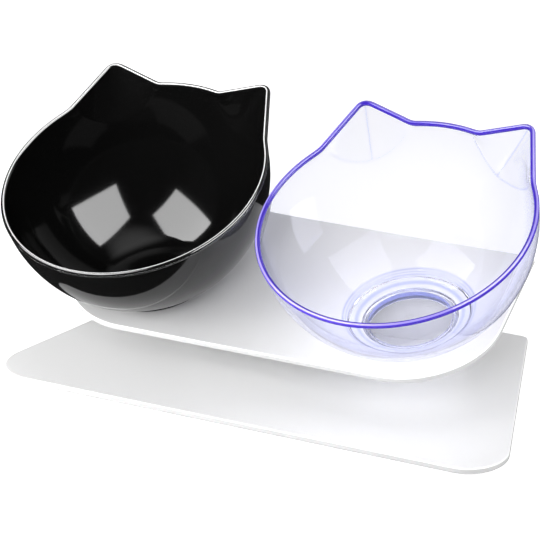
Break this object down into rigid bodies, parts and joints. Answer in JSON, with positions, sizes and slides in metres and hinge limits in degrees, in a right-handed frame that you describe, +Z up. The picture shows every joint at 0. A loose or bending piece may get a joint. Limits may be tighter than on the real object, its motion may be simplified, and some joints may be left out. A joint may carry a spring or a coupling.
{
  "type": "double pet bowl",
  "caption": "Low stand whose tilted platform carries a black bowl and a clear bowl side by side, each with a round bead rim and folded ears at the back.",
  "frame": {"origin": "centre of the footprint, on the surface that the grip pads stand on", "axes": "+X to the clear bowl's side, +Y to the rear where the bowls' ears are, +Z up"},
  "size_m": [0.2657, 0.1614, 0.1332],
  "materials": {
    "white_stand": "white satin plastic sheet with polished edges",
    "black_bowl": "high-gloss black moulded plastic",
    "clear_bowl": "clear moulded plastic with a faint violet tint",
    "violet_rim": "glossy violet-blue bead",
    "grip_pad": "soft pale rubber"
  },
  "bodies": {
    "stand": {"base_plate": "white_stand", "tilted_platform": "white_stand", "pad_front_left": "grip_pad", "pad_front_right": "grip_pad", "pad_rear_left": "grip_pad", "pad_rear_right": "grip_pad"},
    "black_bowl_body": {"black_bowl": "black_bowl"},
    "clear_bowl_body": {"clear_bowl": "clear_bowl", "clear_bowl_rim": "violet_rim"}
  },
  "joints": [
    {"name": "black_bowl_lift", "type": "slide", "parent": "stand", "child": "black_bowl_body", "axis": [0, -0.279, 0.9603], "range_m": [0, 0.05]},
    {"name": "clear_bowl_lift", "type": "slide", "parent": "stand", "child": "clear_bowl_body", "axis": [0, -0.279, 0.9603], "range_m": [0, 0.05]}
  ]
}
